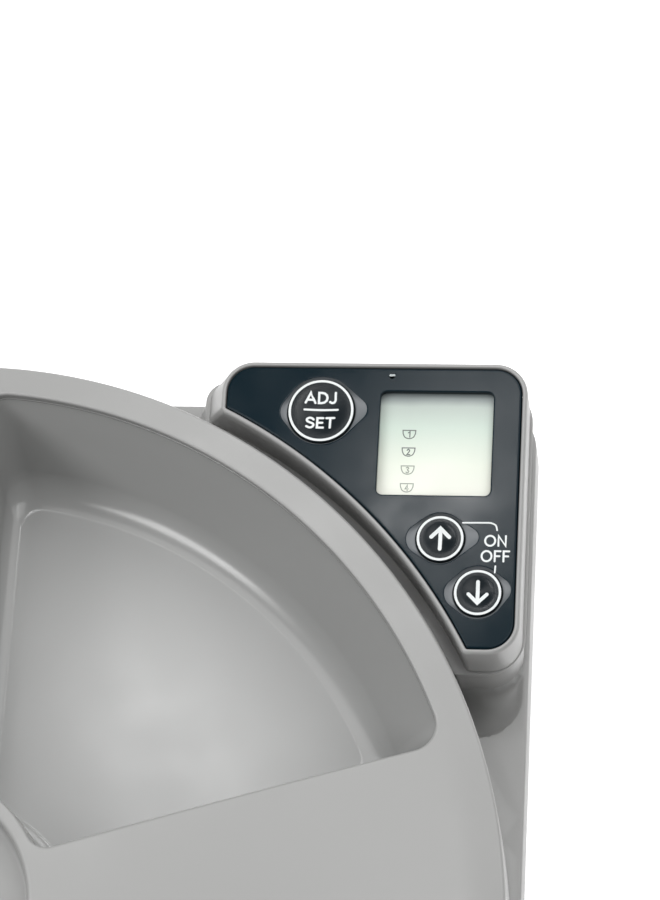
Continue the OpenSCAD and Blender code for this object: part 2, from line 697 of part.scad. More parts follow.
module button(pos, r) {
    stem_low = board_z + board_t + switch_h + press + 0.15;
    color(dark_blue) translate([pos.x, pos.y, 0]) {
        translate([0, 0, face_z - 2.6]) cylinder(r = r, h = 2.6);
        translate([0, 0, stem_low]) cylinder(r = 2, h = face_z - 2 - stem_low);
    }
}
module button_adj_set() { button(adj_pos, adj_r); }
module button_up() { button(up_pos, arrow_r); }
module button_down() { button(down_pos, arrow_r); }

// ---- Wires held inside the housing ----

motor_route = [[102, 120, 57.6], [102, 120, 50], [101, 119.5, 34], [92, 107, 24], [88, 99, 14], [62, 66, 10.5],
    [30, 30, 10.5], [4, 2, 9.5], [-11.5, -18.5, 9]];
battery_route = [[106, 116.5, 57.6], [106, 116.5, 50], [105.5, 115, 34], [97, 102, 24], [94, 94, 14], [80, 30, 8.5],
    [55, -30, 8.5], [36, -66, 9.5], [31.4, -70, 10.5]];
module motor_wires() { color("red") sweep(curve(motor_route), wire_r); }
module battery_wires() { color("black") sweep(curve(battery_route), wire_r); }

base_lower_shell();
base_upper_shell();
base_screws();
rubber_feet();
battery_door();
battery_cells();
battery_contacts();
battery_springs();
ice_pack_left();
ice_pack_right();
gearbox_plate();
gearbox_screws();
motor();
motor_pinion();
idler_axle();
idler_gear();
drive_gear();
drive_spindle();
index_disc();
index_sensor();
spindle_bush();
retaining_ring();
bowl();
lid();
panel_cover();
panel_face();
panel_screws();
lcd_glass();
lcd_frame();
circuit_board();
tact_switches();
buzzer();
led_light_pipe();
button_adj_set();
button_up();
button_down();
motor_wires();
battery_wires();
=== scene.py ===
"""Looks of the automatic pet feeder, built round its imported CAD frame.

Lengths are in mm until a mesh is made. The camera's, the lights' and the materials' are in metres."""
import math

import bmesh
import bpy
import numpy as np
from mathutils import Matrix, Vector
from mathutils.geometry import delaunay_2d_cdt


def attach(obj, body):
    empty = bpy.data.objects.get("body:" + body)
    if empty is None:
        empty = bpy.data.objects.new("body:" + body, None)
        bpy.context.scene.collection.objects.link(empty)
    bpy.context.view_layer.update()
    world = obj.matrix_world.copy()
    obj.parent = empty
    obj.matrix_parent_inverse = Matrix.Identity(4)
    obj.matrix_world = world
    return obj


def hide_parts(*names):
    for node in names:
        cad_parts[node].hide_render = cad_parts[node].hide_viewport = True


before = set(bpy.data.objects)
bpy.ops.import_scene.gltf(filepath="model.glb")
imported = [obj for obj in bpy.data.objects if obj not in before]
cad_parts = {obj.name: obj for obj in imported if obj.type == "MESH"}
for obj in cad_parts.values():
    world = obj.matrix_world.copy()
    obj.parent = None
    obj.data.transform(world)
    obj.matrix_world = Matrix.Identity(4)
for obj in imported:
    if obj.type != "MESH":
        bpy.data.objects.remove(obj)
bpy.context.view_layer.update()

MM = 0.001
TAU = 2 * math.pi

# Sizes shared with the CAD model: the base
HALF_W, HALF_D = 146.6, 147.4
DECK, SPLIT, LEDGE = 35.0, 20.0, 52.4
PANEL_CORNER, PLAIN_CORNER = 11.0, 40.0
RIB_R, WELL_R, WELL, TURRET_R, TURRET = 142.0, 120.0, 22.0, 48.4, 33.5

# The bowl and the lid; angles of walls and fillets are from level
BOWL_R, BOWL_TOP, BOWL_UNDERSIDE, HUB_R = 141.2, 68.66, 37.7, 27.0
FLOOR, WALL_ANGLE, FLOOR_FILLET = 39.5, math.radians(63.5), 12.0
TOE_ANGLE, TOE = math.radians(13), 3.0
WALL_FOOT, WALL_SLOPE, DIVIDER = 4.0, 0.09, 4.0
COMPARTMENTS, OPEN_DIR = 5, 54.0
STEP = 360 / COMPARTMENTS
LID_R, RIM, MOUTH, DOME = 145.0, 68.0, 136.4, 80.0
RIM_RISE, LID_T, LIP = 3.4, 2.2, 68.72
GRIP_R, GRIP_BAR, GRIP_FLOOR = 30.0, 7.0, 71.0

# The finger scoop in the deck, and the pedestal's block behind it
SCOOP_FRONT, SCOOP_RIGHT, SCOOP_CORNER, SCOOP_BACK, SCOOP_ARC = 57.0, 145.0, 11.0, 76.0, 143.2
BLOCK_FRONT, BLOCK_RIGHT, BLOCK_CORNER = 69.0, 145.6, 10.0

# The control panel
FACE, FACE_ARC, FACE_T, BEZEL = 67.7, 150.6, 1.5, 1.5
FACE_X, FACE_Y, FACE_CORNER = (68.1, 144.3), (71.0, 145.7), 6.8
COVER_FLARE = 5.3
ADJ, UP, DOWN = (92.8, 133.8), (125.0, 99.7), (135.0, 85.6)
ADJ_R, ARROW_R, BUTTON_T, STEM_LOW = 8.7, 6.2, 2.6, 64.0
DISH, BUTTON_GAP = 0.7, 0.16
LED, LED_SIZE = (110.8, 143.8), (1.5, 0.5)
LCD_LOW, LCD_SIZE, LCD_LAP, LCD_T = (108.1, 111.2), (29.1, 28.2), 1.5, 2.6
LCD_TOP = FACE - 2.0
COLLAR = 0.25  # flat strip between a sheet and a softened edge, which keeps the sheet's shading level

# Light that comes from all round, and from the floor
WORLD_LIGHT, FLOOR_GLOW = 0.24, 0.45

# ---------------------------------------------------------------- camera, stage and light


def aim(obj, spot, target):
    obj.location = spot
    obj.rotation_euler = (Vector(target) - Vector(spot)).to_track_quat("-Z", "Y").to_euler()


def make_camera():
    data = bpy.data.cameras.new("camera")
    data.sensor_width = 36.0
    data.lens = 117.96
    data.clip_start, data.clip_end = 0.01, 50.0
    camera = bpy.data.objects.new("camera", data)
    bpy.context.scene.collection.objects.link(camera)
    turn = Matrix.Rotation(math.radians(19.62), 3, "Z") @ Matrix.Rotation(math.radians(21.45), 3, "X") \
        @ Matrix.Rotation(math.radians(-17.56), 3, "Z")
    camera.matrix_world = Matrix.Translation((0.1884, -0.1369, 0.7700)) @ turn.to_4x4()
    bpy.context.scene.camera = camera


def area_light(name, spot, target, size, watts):
    data = bpy.data.lights.new(name, "AREA")
    data.shape = "RECTANGLE"
    data.size, data.size_y = size
    data.energy = watts
    light = bpy.data.objects.new(name, data)
    bpy.context.scene.collection.objects.link(light)
    aim(light, spot, target)


def make_stage():
    scene = bpy.context.scene
    scene.view_settings.view_transform = "Standard"
    world = bpy.data.worlds.new("studio")
    scene.world = world
    world.use_nodes = True
    world.node_tree.nodes["Background"].inputs["Color"].default_value = (1, 1, 1, 1)
    world.node_tree.nodes["Background"].inputs["Strength"].default_value = WORLD_LIGHT
    mesh = bpy.data.meshes.new("floor")
    bm = bmesh.new()
    bmesh.ops.create_grid(bm, x_segments=1, y_segments=1, size=4.0)
    bm.to_mesh(mesh)
    bm.free()
    floor = bpy.data.objects.new("floor", mesh)
    scene.collection.objects.link(floor)
    paint = bpy.data.materials.new("stage_white")
    paint.use_nodes = True
    shader = paint.node_tree.nodes["Principled BSDF"]
    shader.inputs["Base Color"].default_value = (0.93, 0.93, 0.93, 1)
    shader.inputs["Roughness"].default_value = 0.9
    shader.inputs["Specular IOR Level"].default_value = 0.0
    shader.inputs["Emission Color"].default_value = (1, 1, 1, 1)
    shader.inputs["Emission Strength"].default_value = FLOOR_GLOW
    mesh.materials.append(paint)
    middle, panel_middle = (0.05, 0.05, 0.05), (0.12, 0.12, 0.07)
    area_light("key_left", (-0.72, 0.20, 1.07), middle, (0.7, 1.0), 5.6)
    area_light("key_right", (0.75, 0.35, 1.05), middle, (0.7, 1.0), 4.0)
    area_light("back", (0.35, 0.95, 0.85), middle, (0.8, 0.5), 4.8)
    area_light("low_left", (-0.58, -0.42, 0.70), middle, (0.28, 0.28), 2.3)
    area_light("top", (0.35, 0.10, 1.25), middle, (0.5, 0.5), 2.0)
    area_light("glint", (-0.172, 0.37, 1.30), (0.06, 0.06, 0.04), (0.075, 0.20), 0.70)
    area_light("sheen", (0.10, 0.62, 1.30), panel_middle, (0.20, 0.20), 0.85)
    area_light("sheen_low", (0.0, 0.54, 1.30), panel_middle, (0.07, 0.07), 0.45)


# ---------------------------------------------------------------- materials


def node_material(name):
    material = bpy.data.materials.new(name)
    material.use_nodes = True
    tree = material.node_tree
    return material, tree, tree.nodes["Principled BSDF"]


def add(tree, kind, **values):
    node = tree.nodes.new(kind)
    for key, value in values.items():
        if key in node.inputs:
            node.inputs[key].default_value = value
        else:
            setattr(node, key, value)
    return node


def noise(tree, scale, detail=2.0, stretch=(1, 1, 1)):
    """Noise in object space; scale is in cycles per metre."""
    where = add(tree, "ShaderNodeTexCoord")
    mapping = add(tree, "ShaderNodeMapping")
    mapping.inputs["Scale"].default_value = stretch
    tree.links.new(where.outputs["Object"], mapping.inputs["Vector"])
    node = add(tree, "ShaderNodeTexNoise", Scale=scale, Detail=detail)
    tree.links.new(mapping.outputs["Vector"], node.inputs["Vector"])
    return node


def between(tree, source, low, high):
    """Stretches the usual range of a noise to low and high."""
    node = add(tree, "ShaderNodeMapRange")
    node.inputs["From Min"].default_value = 0.3
    node.inputs["From Max"].default_value = 0.7
    node.inputs["To Min"].default_value = low
    node.inputs["To Max"].default_value = high
    tree.links.new(source, node.inputs["Value"])
    return node.outputs["Result"]


def mixed(tree, factor, one, two):
    node = add(tree, "ShaderNodeMix", data_type="RGBA")
    colours = [s for s in node.inputs if s.type == "RGBA"]
    colours[0].default_value = (*one, 1)
    colours[1].default_value = (*two, 1)
    tree.links.new(factor, node.inputs[0])
    return next(s for s in node.outputs if s.type == "RGBA")


def bumped(tree, shader, height, strength, distance):
    node = add(tree, "ShaderNodeBump", Strength=strength, Distance=distance)
    tree.links.new(height, node.inputs["Height"])
    tree.links.new(node.outputs["Normal"], shader.inputs["Normal"])


def moulded(name, colour, rough=0.4, grain=0.00002, shift=0.04, specular=0.5, rough_spread=0.05):
    """Moulded plastic or painted surface: slow colour drift, fine grain, and roughness that wanders."""
    material, tree, shader = node_material(name)
    slow = noise(tree, 9, 3)
    light = tuple(min(1, c * (1 + shift)) for c in colour)
    dark = tuple(c * (1 - shift) for c in colour)
    tree.links.new(mixed(tree, slow.outputs["Fac"], dark, light), shader.inputs["Base Color"])
    patches = noise(tree, 60, 3)
    tree.links.new(between(tree, patches.outputs["Fac"], rough - rough_spread, rough + rough_spread),
                   shader.inputs["Roughness"])
    fine = noise(tree, 1800, 2)
    bumped(tree, shader, fine.outputs["Fac"], 0.6, grain)
    shader.inputs["Specular IOR Level"].default_value = specular
    return material


def brushed(name, colour, rough=0.3):
    """Bare metal with fine lines round its height."""
    material, tree, shader = node_material(name)
    lines = noise(tree, 260, 4, stretch=(1, 1, 14))
    tree.links.new(mixed(tree, lines.outputs["Fac"], tuple(c * 0.88 for c in colour), colour),
                   shader.inputs["Base Color"])
    tree.links.new(between(tree, lines.outputs["Fac"], rough - 0.07, rough + 0.1), shader.inputs["Roughness"])
    bumped(tree, shader, lines.outputs["Fac"], 0.3, 0.00002)
    shader.inputs["Metallic"].default_value = 1.0
    return material


def display(name):
    """Reflective display: greenish white, with painted shade that darkens it towards its far edge, where the
    window's depth shades it.
    """
    material, tree, shader = node_material(name)
    where = add(tree, "ShaderNodeTexCoord")
    split = add(tree, "ShaderNodeSeparateXYZ")
    tree.links.new(where.outputs["Object"], split.inputs["Vector"])
    across = add(tree, "ShaderNodeMapRange")
    across.inputs["From Min"].default_value = (LCD_LOW[1] - 0.5) * MM
    across.inputs["From Max"].default_value = (LCD_LOW[1] + LCD_SIZE[1] + 0.2) * MM
    tree.links.new(split.outputs["Y"], across.inputs["Value"])
    cloud = noise(tree, 90, 2)
    shifted = add(tree, "ShaderNodeMath", operation="MULTIPLY_ADD")
    shifted.inputs[1].default_value = 0.05
    tree.links.new(cloud.outputs["Fac"], shifted.inputs[0])
    tree.links.new(across.outputs["Result"], shifted.inputs[2])
    # painted shade: the display's colour darkens steadily from its near edge to its far edge, most in the
    # last strip under the window's far wall
    painted_shade_ramp = add(tree, "ShaderNodeValToRGB")
    stops = painted_shade_ramp.color_ramp.elements
    stops[0].position, stops[0].color = 0.0, (0.75, 0.75, 0.68, 1)
    stops[1].position, stops[1].color = 1.0, (0.22, 0.25, 0.25, 1)
    for place, colour in (
            (0.35, (0.71, 0.75, 0.66, 1)), (0.70, (0.56, 0.65, 0.58, 1)),
            (0.90, (0.46, 0.52, 0.48, 1)), (0.955, (0.32, 0.36, 0.35, 1))):
        stops.new(place).color = colour
    tree.links.new(shifted.outputs[0], painted_shade_ramp.inputs["Fac"])
    tree.links.new(painted_shade_ramp.outputs["Color"], shader.inputs["Base Color"])
    tree.links.new(between(tree, cloud.outputs["Fac"], 0.08, 0.14), shader.inputs["Roughness"])
    shader.inputs["Specular IOR Level"].default_value = 0.08
    return material


# ---------------------------------------------------------------- outlines, in mm


def arc(centre, r, a0, a1, n):
    a = np.linspace(a0, a1, n, endpoint=False)
    return np.stack([centre[0] + r * np.cos(a), centre[1] + r * np.sin(a)], 1)


def line(p, q, n):
    return np.linspace(p, q, n, endpoint=False)


def turned(points, degrees):
    a = math.radians(degrees)
    return points @ np.array([[math.cos(a), math.sin(a)], [-math.sin(a), math.cos(a)]])


def circle(r, n=240, centre=(0, 0)):
    return arc(centre, r, 0, TAU, n)


def wedge(outer, inner, half, r_out, r_in, mid):
    """A compartment's outline: two arcs about the axis, and two walls at a distance of half from the centre
    lines of the dividers."""
    a = math.radians(STEP / 2)
    along, normal = np.array([math.cos(a), math.sin(a)]), np.array([math.sin(a), -math.cos(a)])

    def corner(reach, r):
        off = half + r
        return off * normal + math.sqrt(reach * reach - off * off) * along

    c_out, c_in = corner(outer - r_out, r_out), corner(inner + r_in, r_in)
    t_out, t_in = math.atan2(c_out[1], c_out[0]), math.atan2(c_in[1], c_in[0])
    side = a + math.pi / 2
    away = np.array([math.cos(side), math.sin(side)])
    upper = np.concatenate([
        arc((0, 0), outer, 0, t_out, 42), arc(c_out, r_out, t_out, side, 12),
        line(c_out + r_out * away, c_in + r_in * away, 40), arc(c_in, r_in, side, t_in + math.pi, 9),
        arc((0, 0), inner, t_in, 0, 9)])
    lower = upper[1:][::-1] * [1, -1]
    return turned(np.concatenate([upper, [[inner, 0]], lower]), mid)


def footprint(grow=0.0, n=44):
    w, d = HALF_W + grow, HALF_D + grow
    p, c = PANEL_CORNER + grow, PLAIN_CORNER + grow
    return np.concatenate([
        line((w, c - d), (w, d - p), n), arc((w - p, d - p), p, 0, TAU / 4, 12),
        line((w - p, d), (c - w, d), n), arc((c - w, d - c), c, TAU / 4, TAU / 2, 20),
        line((-w, d - c), (-w, c - d), n), arc((c - w, c - d), c, TAU / 2, TAU * 3 / 4, 20),
        line((c - w, -d), (w - c, -d), n), arc((w - c, c - d), c, TAU * 3 / 4, TAU, 20)])


def panel(x0, x1, y0, y1, ra, rc, re, rl, n=26):
    """Outline of the control panel: a hollow side of radius ra about the bowl's axis, which ends in corners
    of radius re, a left back corner of radius rl and other corners of radius rc."""
    c_front = (math.sqrt((ra + re) ** 2 - (y0 + re) ** 2), y0 + re)
    c_left = (x0 + re, math.sqrt((ra + re) ** 2 - (x0 + re) ** 2))
    a_front, a_left = math.atan2(c_front[1], c_front[0]), math.atan2(c_left[1], c_left[0])
    return np.concatenate([
        arc(c_front, re, a_front + math.pi, TAU * 3 / 4, 6), line((c_front[0], y0), (x1 - rc, y0), 8),
        arc((x1 - rc, y0 + rc), rc, -TAU / 4, 0, 14), line((x1, y0 + rc), (x1, y1 - rc), n),
        arc((x1 - rc, y1 - rc), rc, 0, TAU / 4, 14), line((x1 - rc, y1), (x0 + rl, y1), n),
        arc((x0 + rl, y1 - rl), rl, TAU / 4, TAU / 2, 14), line((x0, y1 - rl), (x0, c_left[1]), 3),
        arc(c_left, re, math.pi, a_left + math.pi, 6), arc((0, 0), ra, a_left, a_front, 44)])


def face_outline(grow, flare=0.0):
    """Outline of the panel's face, grown all round; flare moves only its left end out."""
    corner = FACE_CORNER + grow
    return panel(FACE_X[0] - grow - flare, FACE_X[1] + grow, FACE_Y[0] - grow, FACE_Y[1] + grow,
                 FACE_ARC - grow, corner, max(0.5 + grow, 0.05), corner - 0.6 * flare)


def rounded_box(low, size, r, grow=0.0, n=12):
    x0, y0, x1, y1 = low[0] - grow, low[1] - grow, low[0] + size[0] + grow, low[1] + size[1] + grow
    r = r + grow
    return np.concatenate([
        arc((x1 - r, y0 + r), r, -TAU / 4, 0, 6), line((x1, y0 + r), (x1, y1 - r), n),
        arc((x1 - r, y1 - r), r, 0, TAU / 4, 6), line((x1 - r, y1), (x0 + r, y1), n),
        arc((x0 + r, y1 - r), r, TAU / 4, TAU / 2, 6), line((x0, y1 - r), (x0, y0 + r), n),
        arc((x0 + r, y0 + r), r, TAU / 2, TAU * 3 / 4, 6), line((x0 + r, y0), (x1 - r, y0), n)])


def half_moon(r, bar, rc, side):
    """The part of a circle beyond a bar, with rounded corners: one finger pocket of the lid's grip."""
    along = math.sqrt((r - rc) ** 2 - (bar + rc) ** 2)
    a = math.atan2(along, bar + rc)
    upper = np.concatenate([
        arc((0, 0), r, 0, a, 24), arc((bar + rc, along), rc, a, math.pi, 10),
        line((bar, along), (bar, 0), 12)])
    lower = upper[1:][::-1] * [1, -1]
    return turned(np.concatenate([upper, [[bar, 0]], lower]), OPEN_DIR + side)


def hull(points):
    """Convex hull of 2D points, counter-clockwise."""
    points = sorted(map(tuple, points))
    chains = []
    for run in (points, points[::-1]):
        chain = []
        for p in run:
            while len(chain) > 1 and (chain[-1][0] - chain[-2][0]) * (p[1] - chain[-2][1]) \
                    <= (chain[-1][1] - chain[-2][1]) * (p[0] - chain[-2][0]):
                chain.pop()
            chain.append(p)
        chains += chain[:-1]
    return np.array(chains)


# ---------------------------------------------------------------- surfaces


def covers(loop, points):
    """Which of the points lie inside the loop."""
    x, y = points[:, :1], points[:, 1:2]
    a, b = loop, np.roll(loop, -1, axis=0)
    crossed = (a[:, 1] > y) != (b[:, 1] > y)
    rise = np.where(np.abs(b[:, 1] - a[:, 1]) < 1e-12, 1e-12, b[:, 1] - a[:, 1])
    return (crossed & (x < a[:, 0] + (y - a[:, 1]) / rise * (b[:, 0] - a[:, 0]))).sum(1) % 2 == 1


def gap_to(loop, points):
    """Distance from each point to the loop's edges."""
    a, b = loop, np.roll(loop, -1, axis=0)
    best = np.full(len(points), 1e9)
    for i in range(len(a)):
        d = b[i] - a[i]
        t = np.clip(((points - a[i]) @ d) / max(d @ d, 1e-12), 0, 1)
        best = np.minimum(best, np.hypot(*(points - a[i] - t[:, None] * d).T))
    return best


class Surface:
    """Points in mm and faces of one mesh."""

    def __init__(self):
        self.points, self.faces, self.kinds = [], [], []

    def grid(self, rings, kind=0):
        """A skin over closed rings that all have the same number of points."""
        start, n = len(self.points), len(rings[0])
        for ring in rings:
            self.points.extend(tuple(map(float, p)) for p in ring)
        for i in range(len(rings) - 1):
            for j in range(n):
                a, b = start + i * n + j, start + i * n + (j + 1) % n
                self.faces.append((a, b, b + n, a + n))
                self.kinds.append(kind)

    def revolve(self, profile, n=240):
        a = np.arange(n) * TAU / n
        self.grid([np.stack([r * np.cos(a), r * np.sin(a), np.full(n, z)], 1) for r, z in profile])

    def sheet(self, loops, height, step, kind=0):
        """A surface over the area inside loops[0] and outside the others, at height(xy)."""
        low, high = loops[0].min(0), loops[0].max(0)
        xs, ys = np.arange(low[0], high[0], step), np.arange(low[1], high[1], step * 0.866)
        gx, gy = np.meshgrid(xs, ys)
        gx[1::2] += step / 2
        inner = np.stack([gx.ravel(), gy.ravel()], 1)
        keep = covers(loops[0], inner)
        for loop in loops[1:]:
            keep &= ~covers(loop, inner)
        inner = inner[keep]
        for loop in loops:
            if len(inner):
                inner = inner[gap_to(loop, inner) > step * 0.55]
        points, edges = [], []
        for loop in loops:
            first = len(points)
            points += [tuple(p) for p in loop]
            edges += [(first + i, first + (i + 1) % len(loop)) for i in range(len(loop))]
        points += [tuple(p) for p in inner]
        xy, _, triangles = delaunay_2d_cdt([Vector(p) for p in points], edges, [], 1, 1e-7, False)[:3]
        xy = np.array([tuple(p) for p in xy])
        triangles = np.array([tuple(t) for t in triangles])
        middle = xy[triangles].mean(1)
        keep = covers(loops[0], middle)
        for loop in loops[1:]:
            keep &= ~covers(loop, middle)
        z = height(xy)
        start = len(self.points)
        self.points.extend((float(p[0]), float(p[1]), float(q)) for p, q in zip(xy, z))
        for t in triangles[keep]:
            self.faces.append(tuple(int(start + i) for i in t))
            self.kinds.append(kind)

    def piece(self, name, body, replaces, materials):
        mesh = bpy.data.meshes.new(name)
        mesh.from_pydata([[c * MM for c in p] for p in self.points], [], self.faces)
        for m in materials:
            mesh.materials.append(m)
        mesh.polygons.foreach_set("material_index", self.kinds)
        bm = bmesh.new()
        bm.from_mesh(mesh)
        bmesh.ops.remove_doubles(bm, verts=bm.verts, dist=2e-6)
        bmesh.ops.dissolve_degenerate(bm, edges=bm.edges, dist=1e-7)
        bmesh.ops.recalc_face_normals(bm, faces=bm.faces)
        for f in bm.faces:
            f.smooth = True
        bm.to_mesh(mesh)
        bm.free()
        obj = bpy.data.objects.new(name, mesh)
        bpy.context.scene.collection.objects.link(obj)
        obj.modifiers.new("even_shading", "WEIGHTED_NORMAL").weight = 80
        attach(obj, body)
        if replaces:
            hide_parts(*replaces)


def at(points, z):
    """2D points at one height, or at a height for each."""
    return np.column_stack([points, np.broadcast_to(z, len(points))])


def flat(z):
    return lambda xy: np.full(len(xy), z)


def quarter(r, n=5):
    """(out, down) steps of an edge rounded to radius r: from r out on the top, to r down on the side."""
    for a in np.radians(np.linspace(0, 90, n)):
        yield r * (1 - math.sin(a)), r * (1 - math.cos(a))


# ---------------------------------------------------------------- bowl


TOE_TOP = FLOOR + TOE * (1 - math.cos(TOE_ANGLE))
FILLET_CENTRE = TOE_TOP + FLOOR_FILLET * math.cos(TOE_ANGLE)


def pocket_size(z):
    """Outer radius, inner radius, wall offset and corner radii of a compartment at height z."""
    bend = FILLET_CENTRE - FLOOR_FILLET * math.cos(WALL_ANGLE)
    bend_r = MOUTH - 0.2 - (BOWL_TOP - bend) / math.tan(WALL_ANGLE)
    centre_r = bend_r - FLOOR_FILLET * math.sin(WALL_ANGLE)
    if z >= bend:
        outer = bend_r + (z - bend) / math.tan(WALL_ANGLE)
    elif z >= TOE_TOP:
        outer = centre_r + math.sqrt(max(0.0, FLOOR_FILLET ** 2 - (FILLET_CENTRE - z) ** 2))
    else:
        foot_r = centre_r + (FLOOR_FILLET - TOE) * math.sin(TOE_ANGLE)
        outer = foot_r + math.sqrt(max(0.0, TOE ** 2 - (FLOOR + TOE - z) ** 2))
    half = DIVIDER + (BOWL_TOP - z) * WALL_SLOPE
    inner = HUB_R + 2 + (BOWL_TOP - z) * 0.1
    depth = FLOOR + WALL_FOOT - z
    if depth > 0:
        slide = WALL_FOOT - math.sqrt(max(0.0, WALL_FOOT ** 2 - depth ** 2))
        half, inner = half + slide, inner + slide
    share = min(1.0, (BOWL_TOP - z) / (BOWL_TOP - FLOOR))
    return outer, inner, half, 7.0 - 1.5 * share, 5.0


def make_bowl(plastic):
    s = Surface()
    levels = [BOWL_TOP, 65.0, 60.0, 54.0, 50.0]
    levels += [FILLET_CENTRE - FLOOR_FILLET * math.cos(a) for a in np.linspace(WALL_ANGLE, TOE_ANGLE, 18)]
    levels += [FLOOR + TOE * (1 - math.cos(a)) for a in np.linspace(TOE_ANGLE, 0, 6)[1:]]
    rims = []
    outer, inner, half, r_out, r_in = pocket_size(BOWL_TOP)
    edge = 0.4
    for i in range(COMPARTMENTS):
        mid = OPEN_DIR + STEP * i
        rim = [at(wedge(outer + g, inner - g, half - g, r_out + g, r_in + g, mid), BOWL_TOP - down)
               for g, down in [(2 * edge, 0.0)] + list(quarter(edge))[::-1]]
        rings = rim + [at(wedge(*pocket_size(z), mid), z) for z in levels[1:]]
        s.grid(rings)
        s.sheet([rings[-1][:, :2]], flat(FLOOR), 6.0)
        rims.append(rings[0][:, :2])
    brim = BOWL_R - 2.2
    s.sheet([circle(brim)] + rims, flat(BOWL_TOP), 6.0)
    flange = [(brim, BOWL_TOP), (BOWL_R - 0.9, BOWL_TOP - 0.4), (BOWL_R - 0.2, BOWL_TOP - 1.2),
              (BOWL_R, BOWL_TOP - 2), (BOWL_R, 63.4), (BOWL_R - 0.5, 62.9), (BOWL_R - 1.2, 62.9),
              (BOWL_R - 1.6, 63.4), (BOWL_R - 1.6, 65.8)]
    outside = [(137.4, 65.8), (127, 45.5), (124.4, 41.3), (120, 38.5), (114.3, BOWL_UNDERSIDE),
               (30, BOWL_UNDERSIDE)]
    hub = [(26, 60), (11, 62), (11, 36.4), (0.01, 36.4)]
    s.revolve(flange + outside + hub)
    s.piece("bowl_shell", "turntable", ["bowl"], [plastic])


# ---------------------------------------------------------------- lid


def lid_height(xy):
    """Height of the lid's top: a dome that runs into the conical edge band."""
    r = np.hypot(xy[:, 0], xy[:, 1])
    dome = RIM + RIM_RISE + (DOME - RIM - RIM_RISE) * (1 - (r / MOUTH) ** 2)
    band = RIM + RIM_RISE - (r - MOUTH) * RIM_RISE / (LID_R - MOUTH)
    soft, level = 0.25, 74
    return -soft * np.log(np.exp(-(dome - level) / soft) + np.exp(-(band - level) / soft)) + level


def opening(grow):
    return wedge(MOUTH + grow, GRIP_R + 4 - grow, DIVIDER - grow, 7.0 + grow, 5.0 + grow, OPEN_DIR)


def make_lid(plastic):
    s = Surface()
    edge = 0.9
    brow = 1.1
    pockets = {}
    for side in (0, 180):
        pockets[side] = [(half_moon(GRIP_R + out, GRIP_BAR - out, 4.0 + out, side), -down)
                         for out, down in quarter(1.6, 6)]
    outer = LID_R - brow
    loops = [circle(outer), opening(edge)] + [rings[0][0] for rings in pockets.values()]
    s.sheet(loops, lid_height, 4.0)
    for side, rings in pockets.items():
        wall = [at(p, lid_height(p) + down) for p, down in rings]
        foot = 2.0
        curve = [(foot * math.cos(a), foot * (1 - math.sin(a))) for a in np.radians(range(0, 91, 18))]
        bottom = [at(half_moon(GRIP_R - foot + out, GRIP_BAR + foot - out, foot + out, side),
                     GRIP_FLOOR + rise) for out, rise in curve]
        s.grid(wall + bottom)
        s.sheet([bottom[-1][:, :2]], flat(GRIP_FLOOR), 4.0)
    mouth = [at(opening(out), lid_height(opening(out)) - down) for out, down in quarter(edge, 6)]
    inner = opening(LID_T)
    s.grid(mouth + [at(opening(0), LIP + 0.25), at(opening(0.25), LIP), at(opening(LID_T - 0.2), LIP),
                    at(inner, LIP + 0.2), at(inner, lid_height(inner) - LID_T)])
    rim = lid_height(circle(outer))[0]
    skirt = [(outer + brow * math.sin(a), rim - brow * (1 - math.cos(a)))
             for a in np.radians(range(0, 91, 15))]
    low = DECK + 0.1
    s.revolve(skirt + [(LID_R - 0.15, 52), (LID_R - 0.4, low + 0.5), (LID_R - 0.7, low),
                       (LID_R - 2.2, low), (LID_R - 2.6, low + 0.5), (LID_R - 2.4, 62), (LID_R - 3.2, 65.0)])
    bottom_r = LID_R - 3.2
    bottom_z = 65.0
    boss = GRIP_R + 1.6
    boss_z = 69.0

    def underside(xy):
        r = np.hypot(xy[:, 0], xy[:, 1])
        return np.where(r > bottom_r - 0.01, bottom_z, lid_height(xy) - LID_T)

    s.sheet([circle(bottom_r), inner, circle(boss)], underside, 6.0)
    s.grid([at(circle(boss), lid_height(circle(boss)) - LID_T), at(circle(boss), boss_z + 0.4),
            at(circle(boss - 0.4), boss_z)])
    s.sheet([circle(boss - 0.4)], flat(boss_z), 6.0)
    s.piece("lid_drum", "lid", ["lid"], [plastic])


# ---------------------------------------------------------------- upper shell of the base


def widened(loop, out):
    """The loop moved outwards all round."""
    along = np.roll(loop, -1, axis=0) - np.roll(loop, 1, axis=0)
    normal = np.stack([along[:, 1], -along[:, 0]], 1) / np.hypot(*along.T)[:, None]
    area = (loop[:, 0] * np.roll(loop[:, 1], -1) - np.roll(loop[:, 0], -1) * loop[:, 1]).sum()
    return loop + normal * math.copysign(out, area)


def scoop_outline():
    c = (SCOOP_RIGHT - SCOOP_CORNER, SCOOP_FRONT + SCOOP_CORNER)
    a0 = math.asin(SCOOP_BACK / SCOOP_ARC)
    a1 = math.asin(SCOOP_FRONT / SCOOP_ARC)
    start = (SCOOP_ARC * math.cos(a1), SCOOP_FRONT)
    return np.concatenate([
        arc((0, 0), SCOOP_ARC, a0, a1, 16), line(start, (c[0], SCOOP_FRONT), 4),
        arc(c, SCOOP_CORNER, -TAU / 4, 0, 22), line((SCOOP_RIGHT, c[1]), (SCOOP_RIGHT, SCOOP_BACK), 10),
        line((SCOOP_RIGHT, SCOOP_BACK), (SCOOP_ARC * math.cos(a0), SCOOP_BACK), 16)])


